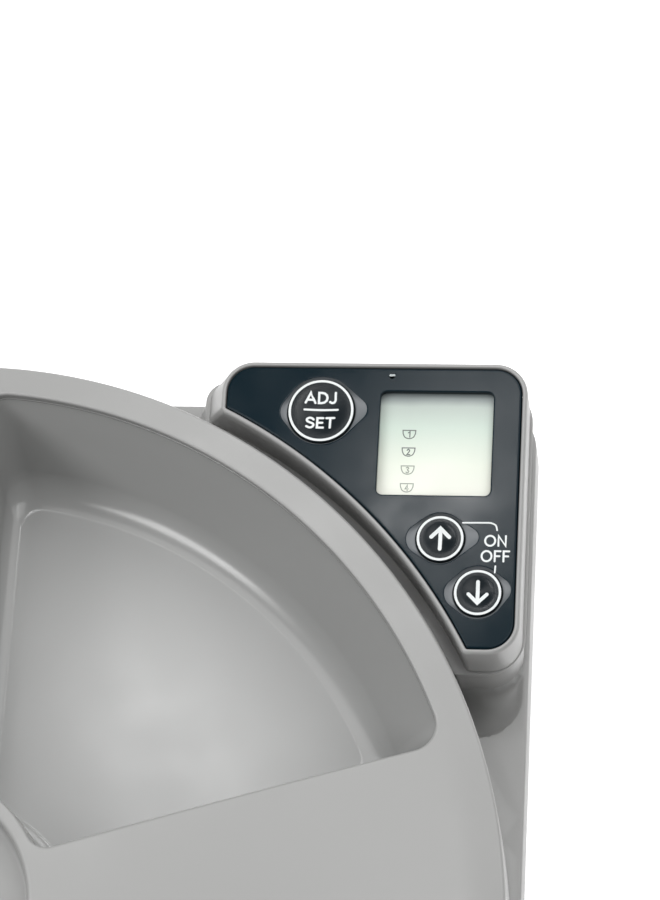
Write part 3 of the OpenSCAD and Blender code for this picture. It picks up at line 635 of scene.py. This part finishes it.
def scoop_height(xy):
    """The finger hollow: it deepens from its rim and towards the bowl, and sweeps up into the pedestal."""
    x, y = xy[:, 0], xy[:, 1]
    cx, cy = SCOOP_RIGHT - SCOOP_CORNER, SCOOP_FRONT + SCOOP_CORNER
    corner = SCOOP_CORNER - np.hypot(np.maximum(x - cx, 0), np.maximum(cy - y, 0))
    d = np.where((x > cx) & (y < cy), corner,
                 np.minimum(SCOOP_RIGHT - x, np.where(y < cy, y - SCOOP_FRONT, 99)))
    d = np.maximum(d, 0)
    bx, by = BLOCK_RIGHT - BLOCK_CORNER, BLOCK_FRONT + BLOCK_CORNER
    e = np.where(x > bx, np.hypot(x - bx, np.minimum(y - by, 0)) - BLOCK_CORNER, BLOCK_FRONT - y)
    slope, shallow, extra, rounding = 26, 1.2, 12.0, 9.0
    t = np.clip((SCOOP_RIGHT + 1 - x) / slope, 0, 1)
    depth = shallow + extra * t * t * (3 - 2 * t)
    s = np.clip(d / rounding, 0, 1)
    sweep = np.minimum(rounding, 0.75 * (d + np.maximum(e, 0)) + 0.01)
    up = np.clip(1 - e / sweep, 0, 1)
    rise = (sweep + 0.6 * depth) * (1 - np.sqrt(np.maximum(0, 1 - up ** 2)))
    return DECK - depth * np.sqrt(np.maximum(0, 1 - (1 - s) ** 2)) + rise


def make_upper_shell(plastic):
    s = Surface()
    soft = 0.8
    shell = [at(footprint(out - soft), DECK - down) for out, down in
             [(soft - o, d) for o, d in quarter(soft, 5)]]
    s.grid(shell + [at(footprint(0), SPLIT + 0.4), at(footprint(-0.3), SPLIT), at(footprint(-2.0), SPLIT)])
    scoop = scoop_outline()
    collar = widened(scoop, 0.4)
    s.sheet([footprint(-soft), circle(RIB_R), collar], flat(DECK), 6.0)
    s.grid([at(collar, DECK), at(scoop, DECK), at(scoop, scoop_height(scoop))])
    s.sheet([scoop], scoop_height, 0.9)
    rib_top, rib_in, spindle_hole = DECK + 3.4, RIB_R - 1.8, 7.0
    s.revolve([(RIB_R, DECK), (RIB_R, rib_top - 0.5), (RIB_R - 0.4, rib_top), (rib_in + 0.4, rib_top),
               (rib_in, rib_top - 0.5), (rib_in, DECK), (WELL_R, DECK), (WELL_R, WELL), (TURRET_R, WELL),
               (TURRET_R, TURRET), (spindle_hole, TURRET)])

    def block(z, grow=0.0):
        rise = max(0.0, (z - DECK) / (LEDGE - DECK))
        return panel(55.3 + 5.2 * rise - grow, 145.2 + 0.9 * rise + grow, BLOCK_FRONT - grow, 146.9 + grow,
                     146.2 - grow, BLOCK_CORNER + grow, 1.2 + grow, 5.0 + grow)

    lip = 0.4
    top = [at(block(LEDGE - down, lip - out), LEDGE - down) for out, down in quarter(0.3, 5)]
    top += [at(block(LEDGE - 0.8, lip), LEDGE - 0.8), at(block(LEDGE - 1.4), LEDGE - 1.4)]
    levels = [at(block(z), z) for z in (49, 45, 41, 38, 36, DECK, 30, 24, SPLIT + 1)]
    shelf = [at(face_outline(0.9), LEDGE), at(block(LEDGE, 0.0), LEDGE)]
    s.grid(shelf + top + levels)
    s.piece("base_deck", "base", ["base_upper_shell"], [plastic])


# ---------------------------------------------------------------- control panel


def make_cover(plastic):
    s = Surface()
    top = FACE + 0.4
    outside = [(0.56, 0.0), (0.82, 0.04), (1.06, 0.16), (1.27, 0.36), (1.42, 0.64), (1.5, 1.0)]
    inside = [(0.20, 1.6), (0.22, 0.5), (0.27, 0.26), (0.36, 0.11), (0.5, 0.02)]
    rings = [at(face_outline(g), top - d) for g, d in inside + outside]
    foot = LEDGE + 0.3
    flare_top = 67.0
    walls = [at(face_outline(BEZEL, COVER_FLARE * (flare_top - z) / (flare_top - foot)), z)
             for z in (66.5, 65, 62, 59, 56, foot)]
    s.grid(rings + walls + [at(face_outline(BEZEL - 0.3, COVER_FLARE), LEDGE + 0.02)])
    s.piece("panel_bezel", "base", ["panel_cover"], [plastic])


def dish_outline(radius, left, right, n=96):
    """Outline of the dish round a button, about the button's middle: a circle drawn out left and right."""
    blobs = [circle(radius, 96)]
    for x, y, r in (left, right):
        blobs.append(circle(r, 64, (x, y)))
    shape = hull(np.concatenate(blobs))
    a = np.arange(n) * TAU / n
    out = []
    nxt = np.roll(shape, -1, axis=0)
    for d in np.stack([np.cos(a), np.sin(a)], 1):
        edge = nxt - shape
        cross = d[0] * edge[:, 1] - d[1] * edge[:, 0]
        cross = np.where(np.abs(cross) < 1e-12, 1e-12, cross)
        t = (shape[:, 0] * edge[:, 1] - shape[:, 1] * edge[:, 0]) / cross
        u = (shape[:, 0] * d[1] - shape[:, 1] * d[0]) / cross
        out.append(d * t[(u >= -1e-9) & (u <= 1 + 1e-9) & (t > 0)].min())
    return np.array(out)


DISHES = (
    (ADJ, ADJ_R, dish_outline(9.3, (-6.3, -0.3, 4.2), (8.7, 0.4, 3.2))),
    (UP, ARROW_R, dish_outline(6.75, (-4.4, -0.2, 4.2), (7.2, 0.4, 2.5))),
    (DOWN, ARROW_R, dish_outline(6.9, (-4.3, -0.2, 4.1), (5.0, 0.7, 3.3))),
)


def make_face(gloss, satin):
    s = Surface()
    low = FACE - FACE_T

    def window(grow):
        return rounded_box(LCD_LOW, LCD_SIZE, 1.6, grow)

    def slot(grow):
        corner = (LED[0] - LED_SIZE[0] / 2, LED[1] - LED_SIZE[1] / 2)
        return rounded_box(corner, LED_SIZE, 0.2, grow)

    def dish(outline, centre, grow):
        return outline * (1 + grow / 10) + centre

    def opened(shape, edge, drop):
        """A flat collar round a hole, its softened edge and its wall."""
        s.grid([at(shape(edge + COLLAR), FACE), at(shape(edge), FACE), at(shape(0), FACE - drop),
                at(shape(0), low)])

    s.sheet([face_outline(-0.35 - COLLAR), window(0.12 + COLLAR), slot(0.06 + COLLAR)]
            + [dish(outline, centre, 0.1 + COLLAR) for centre, radius, outline in DISHES], flat(FACE), 3.0)
    s.grid([at(face_outline(-0.35 - COLLAR), FACE), at(face_outline(-0.35), FACE),
            at(face_outline(-0.12), FACE - 0.16), at(face_outline(0.0), FACE - 0.42),
            at(face_outline(0.0), low)])
    opened(window, 0.12, 0.12)
    opened(slot, 0.06, 0.08)
    lip = FACE - 0.04
    for centre, radius, outline in DISHES:
        edge = [at(dish(outline, centre, 0.1 + COLLAR), FACE), at(dish(outline, centre, 0.1), FACE),
                at(dish(outline, centre, 0), lip)]
        hole = outline / np.hypot(*outline.T)[:, None] * (radius + BUTTON_GAP)
        bowl = [at(outline + (hole - outline) * t + centre, lip - DISH * (1 - (1 - t) ** 1.6))
                for t in (0, 0.03, 0.08, 0.2, 0.35, 0.5, 0.65, 0.8, 0.92, 1.0)]
        s.grid(edge)
        # the dish walls take the second material, whose lighter grey is partly painted sheen
        s.grid(bowl, kind=1)
        s.grid([bowl[-1], at(hole + centre, low)])
    s.piece("panel_sheet", "base", ["panel_face"], [gloss, satin])


BUTTON_TOP = FACE + 0.05


def cup(centre, radius):
    """Height of a button's top: a flat rim round a shallow thumb cup."""
    def height(xy):
        r = np.hypot(xy[:, 0] - centre[0], xy[:, 1] - centre[1])
        t = np.clip(1 - r / (radius - 1.6), 0, 1)
        return BUTTON_TOP - 0.55 * t * t * (3 - 2 * t)
    return height


def make_button(name, body, node, centre, radius, gloss):
    s = Surface()
    n, edge, stem_r, pin = 96, 0.5, 2.0, 0.02
    top, low = cup(centre, radius), FACE - BUTTON_T
    rings = []
    for r in np.linspace(pin, radius - edge, 18):
        ring = circle(r, n, centre)
        rings.append(at(ring, top(ring)))
    for a in np.radians((20, 40, 60, 80, 90)):
        ring = circle(radius - edge + edge * math.sin(a), n, centre)
        rings.append(at(ring, BUTTON_TOP - edge * (1 - math.cos(a))))
    rings += [at(circle(r, n, centre), z)
              for r, z in ((radius, low), (stem_r, low), (stem_r, STEM_LOW), (pin, STEM_LOW))]
    s.grid(rings)
    s.piece(name, body, [node], [gloss])


def stroke(points, width, closed=False):
    """Outline or outlines of a pen stroke along points, with round ends."""
    p = np.array(points, float)
    if closed:
        back, ahead = np.roll(p, 1, axis=0), np.roll(p, -1, axis=0)
    else:
        back, ahead = np.vstack([p[:1], p[:-1]]), np.vstack([p[1:], p[-1:]])
    a, b = p - back, ahead - p
    la, lb = np.hypot(*a.T), np.hypot(*b.T)
    a = np.where(la[:, None] > 1e-9, a / np.maximum(la, 1e-9)[:, None], b / np.maximum(lb, 1e-9)[:, None])
    b = np.where(lb[:, None] > 1e-9, b / np.maximum(lb, 1e-9)[:, None], a)
    m = a + b
    m /= np.maximum(np.hypot(*m.T), 1e-9)[:, None]
    normal = np.stack([-m[:, 1], m[:, 0]], 1)
    stretch = 1 / np.maximum((a * m).sum(1), 0.45)
    left, right = p + normal * (stretch * width / 2)[:, None], p - normal * (stretch * width / 2)[:, None]
    if closed:
        area = (left[:, 0] * np.roll(left[:, 1], -1) - np.roll(left[:, 0], -1) * left[:, 1]).sum()
        other = (right[:, 0] * np.roll(right[:, 1], -1) - np.roll(right[:, 0], -1) * right[:, 1]).sum()
        return [left, right] if abs(area) > abs(other) else [right, left]
    end = math.atan2(-b[-1][0], b[-1][1])
    start = math.atan2(-a[0][0], a[0][1]) + math.pi
    tip = arc(p[-1], width / 2, end, end + math.pi, 7)[1:]
    tail = arc(p[0], width / 2, start, start + math.pi, 7)[1:]
    return [np.concatenate([right, tip, left[::-1], tail])]


def bend(*points, n=8):
    """Smooth curve through points (Catmull-Rom)."""
    p = [np.array(q, float) for q in points]
    out = []
    for i in range(len(p) - 1):
        a, b, c, d = p[max(i - 1, 0)], p[i], p[i + 1], p[min(i + 2, len(p) - 1)]
        for k in range(n):
            t = k / n
            out.append(0.5 * (2 * b + (c - a) * t + (2 * a - 5 * b + 4 * c - d) * t ** 2
                              + (3 * b - a - 3 * c + d) * t ** 3))
    return out + [p[-1]]


def oval(cx, cy, rx, ry, n=28):
    a = np.arange(n) * TAU / n
    return np.stack([cx + rx * np.cos(a), cy + ry * np.sin(a)], 1)


# Letters as pen strokes in a box one unit high: (closed, points), and the box's width
LETTERS = {
    "A": ([(0, [(0.03, 0), (0.43, 1), (0.83, 0)]), (0, [(0.2, 0.3), (0.66, 0.3)])], 0.86),
    "D": ([(1, [(0.06, 0), (0.3, 0), (0.52, 0.06), (0.7, 0.24), (0.76, 0.5), (0.7, 0.76), (0.52, 0.94),
                (0.3, 1), (0.06, 1)])], 0.8),
    "J": ([(0, bend((0.44, 1), (0.44, 0.6), (0.44, 0.24), (0.33, 0.03), (0.14, 0.0), (0.0, 0.1), n=4))], 0.5),
    "S": ([(0, bend((0.6, 0.84), (0.46, 0.98), (0.26, 1.0), (0.08, 0.88), (0.08, 0.68), (0.3, 0.54),
                    (0.54, 0.43), (0.62, 0.24), (0.5, 0.05), (0.28, 0.0), (0.04, 0.12), n=4))], 0.66),
    "E": ([(0, [(0.54, 1), (0.06, 1), (0.06, 0), (0.56, 0)]), (0, [(0.12, 0.51), (0.48, 0.51)])], 0.6),
    "T": ([(0, [(0.0, 1), (0.66, 1)]), (0, [(0.33, 0.94), (0.33, 0)])], 0.66),
    "O": ([(1, oval(0.46, 0.5, 0.43, 0.5))], 0.92),
    "N": ([(0, [(0.06, 0), (0.06, 1), (0.68, 0), (0.68, 1)])], 0.74),
    "F": ([(0, [(0.54, 1), (0.06, 1), (0.06, 0)]), (0, [(0.12, 0.51), (0.46, 0.51)])], 0.56),
    "1": ([(0, [(0.1, 0.78), (0.36, 1), (0.36, 0)])], 0.5),
    "2": ([(0, bend((0.04, 0.8), (0.3, 1.0), (0.56, 0.76), (0.36, 0.42), (0.04, 0.02), n=4)
            + [(0.62, 0.02)])], 0.64),
    "3": ([(0, bend((0.06, 0.88), (0.3, 1.0), (0.52, 0.8), (0.28, 0.53), (0.56, 0.26), (0.3, 0.0),
                    (0.03, 0.12), n=4))], 0.6),
    "4": ([(0, [(0.46, 0), (0.46, 1), (0.02, 0.3), (0.64, 0.3)])], 0.66),
}


def print_on(s, strokes, width, height, kind=0):
    """Adds printed strokes to a surface, a hair above height and above each other."""
    for i, (closed, points) in enumerate(strokes):
        s.sheet(stroke(points, width, closed), lambda xy, k=i: height(xy) + 0.02 + 0.004 * k,
                max(width * 0.8, 0.5), kind)


def word(text, x0, x1, y0, y1):
    """The strokes of a word that fills a box."""
    gap = 0.2
    total = sum(LETTERS[c][1] for c in text) + gap * (len(text) - 1)
    k, x, out = (x1 - x0) / total, x0, []
    for c in text:
        shapes, wide = LETTERS[c]
        for closed, points in shapes:
            p = np.array(points, float)
            out.append((closed, np.stack([x + p[:, 0] * k, y0 + p[:, 1] * (y1 - y0)], 1)))
        x += (wide + gap) * k
    return out


def print_adj_set(white):
    s = Surface()
    top = cup(ADJ, ADJ_R)
    cx, cy = ADJ
    print_on(s, [(1, circle(ADJ_R - 0.6, 120, ADJ))], 0.62, top)
    print_on(s, word("ADJ", cx - 4.2, cx + 3.8, cy + 2.2, cy + 4.9), 0.6, top)
    print_on(s, word("SET", cx - 3.7, cx + 3.55, cy - 4.65, cy - 1.95), 0.6, top)
    print_on(s, [(0, np.linspace((cx - 4.3, cy + 0.3), (cx + 4.3, cy + 0.3), 9))], 0.56, top)
    s.piece("print_adj_set", "key_adj_set", [], [white])


def print_arrow(name, body, centre, sign, white):
    """A ring with an arrow in it that points up (sign 1) or down (sign -1)."""
    s = Surface()
    top = cup(centre, ARROW_R)
    x, y = centre
    print_on(s, [(1, circle(ARROW_R - 0.6, 100, centre))], 0.62, top)
    print_on(s, [(0, [(x - 2.3, y + sign * 0.4), (x, y + sign * 2.7), (x + 2.3, y + sign * 0.4)]),
                 (0, np.linspace((x, y + sign * 2.5), (x, y - sign * 2.8), 6))], 0.95, top)
    s.piece(name, body, [], [white])


def print_on_off(white):
    """ON and OFF, with the leader lines that join them to the two arrow buttons."""
    s = Surface()
    print_on(s, word("ON", 136.3, 141.75, 97.95, 100.6), 0.5, flat(FACE))
    print_on(s, word("OFF", 135.55, 142.6, 93.85, 96.55), 0.5, flat(FACE))
    lead = [(130.6, 103.95), (137.0, 104.05)] + bend((137.7, 104.0), (138.9, 103.4), (139.3, 102.1), n=5)
    print_on(s, [(0, lead), (0, [(139.2, 92.6), (139.1, 90.9)])], 0.42, flat(FACE))
    s.piece("print_face", "base", [], [white])


def make_icons(greys):
    """Four small numbered bowls on the display, the lower two fainter."""
    s = Surface()
    x = 115.7
    for number, y, kind in (("1", 128.3, 0), ("2", 123.5, 0), ("3", 118.6, 1), ("4", 113.8, 1)):
        rim = [(x - 1.65, y + 1.1), (x + 1.65, y + 1.1)]
        bowl = bend((x + 1.6, y + 0.3), (x + 1.1, y - 0.75), (x, y - 1.15), (x - 1.1, y - 0.75),
                    (x - 1.6, y + 0.3), n=4)
        print_on(s, [(1, rim + bowl)], 0.28, flat(LCD_TOP), kind)
        print_on(s, word(number, x - 0.4, x + 0.4, y - 0.75, y + 0.75), 0.3, flat(LCD_TOP), kind)
    s.piece("lcd_icons", "base", [], greys)


def make_lcd(glass):
    s = Surface()
    low = (LCD_LOW[0] - LCD_LAP, LCD_LOW[1] - LCD_LAP)
    size = (LCD_SIZE[0] + 2 * LCD_LAP, LCD_SIZE[1] + 2 * LCD_LAP)
    s.grid([at(rounded_box(low, size, 0.6, g), LCD_TOP - d)
            for g, d in ((-0.2, 0), (-0.06, 0.06), (0, 0.2), (0, LCD_T))])
    s.sheet([rounded_box(low, size, 0.6, -0.2)], flat(LCD_TOP), 4.0)
    s.sheet([rounded_box(low, size, 0.6)], flat(LCD_TOP - LCD_T), 6.0)
    s.piece("lcd_panel", "base", ["lcd_glass"], [glass])


# ---------------------------------------------------------------- the CAD's own nodes


def dress(node, material):
    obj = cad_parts[node]
    obj.data.materials.clear()
    obj.data.materials.append(material)


def tapered(bm):
    """Draws the lower shell's outer wall in towards the table."""
    taper, wall_zone = 1.5, 3.2
    for v in bm.verts:
        x, y, z = v.co / MM
        corner = PANEL_CORNER if x > 0 and y > 0 else PLAIN_CORNER
        dx, dy = abs(x) - (HALF_W - corner), abs(y) - (HALF_D - corner)
        depth = corner - (math.hypot(max(dx, 0), max(dy, 0)) if dx > 0 or dy > 0 else 0)
        if depth < wall_zone and z < SPLIT + 0.01:
            pull = taper * (1 - z / SPLIT) * MM
            length = max(math.hypot(max(dx, 0), max(dy, 0)), 0.001)
            v.co.x -= math.copysign(max(dx, 0) / length * pull, x)
            v.co.y -= math.copysign(max(dy, 0) / length * pull, y)


def softened(node, body, material, width, shape=None):
    """A copy of a CAD node with its edges rounded, in the node's place."""
    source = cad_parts[node]
    mesh = source.data.copy()
    mesh.name = node + "_soft"
    bm = bmesh.new()
    bm.from_mesh(mesh)
    bmesh.ops.remove_doubles(bm, verts=bm.verts, dist=2e-6)
    bmesh.ops.dissolve_limit(bm, angle_limit=math.radians(1.0), verts=bm.verts, edges=bm.edges)
    bmesh.ops.recalc_face_normals(bm, faces=bm.faces)
    if shape:
        shape(bm)
    for f in bm.faces:
        f.smooth = True
    bm.to_mesh(mesh)
    bm.free()
    mesh.materials.clear()
    mesh.materials.append(material)
    obj = bpy.data.objects.new(node + "_soft", mesh)
    bpy.context.scene.collection.objects.link(obj)
    rounding = obj.modifiers.new("rounding", "BEVEL")
    rounding.width = width * MM
    rounding.segments = 2
    rounding.limit_method = "ANGLE"
    rounding.angle_limit = math.radians(32)
    obj.modifiers.new("even_shading", "WEIGHTED_NORMAL").weight = 100
    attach(obj, body)
    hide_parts(node)


def make_all():
    shell = moulded("shell_satin", (0.330, 0.330, 0.325), 0.34, grain=0.000010)
    bowl = moulded("bowl_satin", (0.325, 0.327, 0.322), 0.19, grain=0.0000015, rough_spread=0.02)
    face = moulded("face_gloss", (0.0025, 0.011, 0.017), 0.16, grain=0.0000005, shift=0.10, specular=0.15)
    # satin grey for the dishes round the buttons, lighter than the face: partly their own finish and partly
    # painted sheen for the reflection their sloped walls catch
    dish = moulded("dish_satin_painted_sheen", (0.145, 0.157, 0.167), 0.34, grain=0.000003)
    key = moulded("key_gloss", (0.006, 0.010, 0.013), 0.22, grain=0.000001, shift=0.1, specular=0.2)
    white = moulded("print_white", (0.74, 0.77, 0.77), 0.5, grain=0.000001, shift=0.01)
    icons = [moulded("icon_dark", (0.15, 0.17, 0.16), 0.4, grain=0.000001, specular=0.2),
             moulded("icon_faint", (0.30, 0.33, 0.28), 0.4, grain=0.000001, specular=0.2)]
    # the display's material carries painted shade towards the window's far edge
    lcd = display("lcd_pale_painted_shade")
    steel = brushed("plated_steel", (0.60, 0.60, 0.61), 0.3)
    brass = brushed("brass", (0.78, 0.58, 0.26), 0.28)
    black = moulded("black_plastic", (0.022, 0.022, 0.024), 0.45, grain=0.00002)
    rubber = moulded("rubber_black", (0.018, 0.018, 0.018), 0.75, grain=0.00004, specular=0.3)
    nylon = moulded("gear_nylon", (0.74, 0.72, 0.66), 0.42, grain=0.00001)
    plate = moulded("plate_plastic", (0.55, 0.55, 0.52), 0.5, grain=0.00002)
    board = moulded("board_green", (0.02, 0.13, 0.05), 0.35, grain=0.00001, shift=0.15)
    gel = moulded("ice_pack_blue", (0.08, 0.22, 0.48), 0.32, grain=0.00003)
    wrap = moulded("cell_wrap", (0.05, 0.06, 0.075), 0.3, grain=0.000004)
    red = moulded("wire_red", (0.45, 0.02, 0.02), 0.45, grain=0.00001)
    clear = moulded("light_pipe", (0.34, 0.38, 0.38), 0.15, grain=0.000001)

    make_bowl(bowl)
    make_lid(shell)
    make_upper_shell(shell)
    make_cover(shell)
    make_face(face, dish)
    make_button("key_adj_set_cap", "key_adj_set", "button_adj_set", ADJ, ADJ_R, key)
    make_button("key_up_cap", "key_up", "button_up", UP, ARROW_R, key)
    make_button("key_down_cap", "key_down", "button_down", DOWN, ARROW_R, key)
    print_adj_set(white)
    print_arrow("print_up", "key_up", UP, 1, white)
    print_arrow("print_down", "key_down", DOWN, -1, white)
    print_on_off(white)
    make_icons(icons)
    make_lcd(lcd)
    softened("base_lower_shell", "base", shell, 0.5, shape=tapered)
    softened("battery_door", "door", shell, 0.25)
    softened("rubber_feet", "base", rubber, 0.5)
    for nodes, material in (
            (("base_screws", "gearbox_screws", "panel_screws", "motor", "idler_axle", "drive_spindle",
              "retaining_ring", "battery_contacts", "battery_springs"), steel),
            (("motor_pinion", "spindle_bush"), brass), (("idler_gear", "drive_gear"), nylon),
            (("index_disc", "index_sensor", "lcd_frame", "tact_switches", "buzzer", "battery_wires"), black),
            (("gearbox_plate",), plate), (("circuit_board",), board),
            (("ice_pack_left", "ice_pack_right"), gel),
            (("battery_cells",), wrap), (("motor_wires",), red), (("led_light_pipe",), clear)):
        for node in nodes:
            dress(node, material)


make_camera()
make_stage()
make_all()
